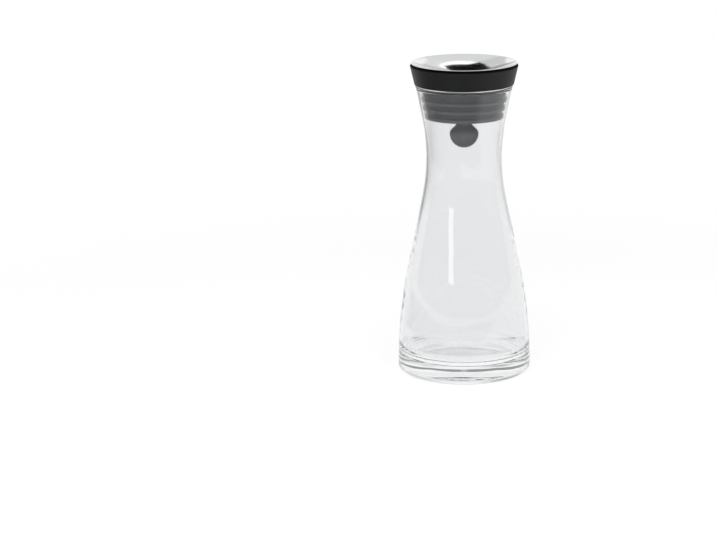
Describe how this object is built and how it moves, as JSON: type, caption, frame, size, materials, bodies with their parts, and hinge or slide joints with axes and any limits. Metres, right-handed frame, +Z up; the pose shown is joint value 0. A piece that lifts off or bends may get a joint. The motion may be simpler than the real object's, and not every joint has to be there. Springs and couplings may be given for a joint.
{
  "type": "water carafe",
  "caption": "Waisted glass water carafe with a heavy bottom and a stopper whose dished steel lid tips open by itself on a weighted bulb as the carafe is tilted.",
  "frame": {"origin": "on the axis, at the plane that the standing ring of the glass rests on", "axes": "+Z up along the axis of the carafe; the lid tips about the +X end of its seat, so it opens towards -X"},
  "size_m": [0.1096, 0.1096, 0.2584],
  "materials": {
    "clear_glass": "clear, fire-polished",
    "black_plastic": "satin moulded",
    "grey_silicone": "matte silicone",
    "polished_steel": "mirror-polished stainless steel",
    "turned_steel": "turned stainless steel"
  },
  "bodies": {
    "carafe": {"glass_body": "clear_glass"},
    "stopper": {"collar": "black_plastic", "pour_sleeve": "black_plastic", "ribbed_seal": "grey_silicone"},
    "lid": {"lid_dish": "polished_steel", "lid_core": "black_plastic", "lid_gasket": "grey_silicone", "swing_stem": "turned_steel", "bulb_weight": "turned_steel", "bulb_skin": "grey_silicone"}
  },
  "joints": [
    {"name": "stopper_lift", "type": "slide", "parent": "carafe", "child": "stopper", "axis": [0, 0, 1], "range_m": [0, 0.09]},
    {"name": "lid_tip", "type": "hinge", "parent": "stopper", "child": "lid", "pos_m": [0.04159, 0, 0.2569], "axis": [0, 1, 0], "range_deg": [0, 7]}
  ]
}
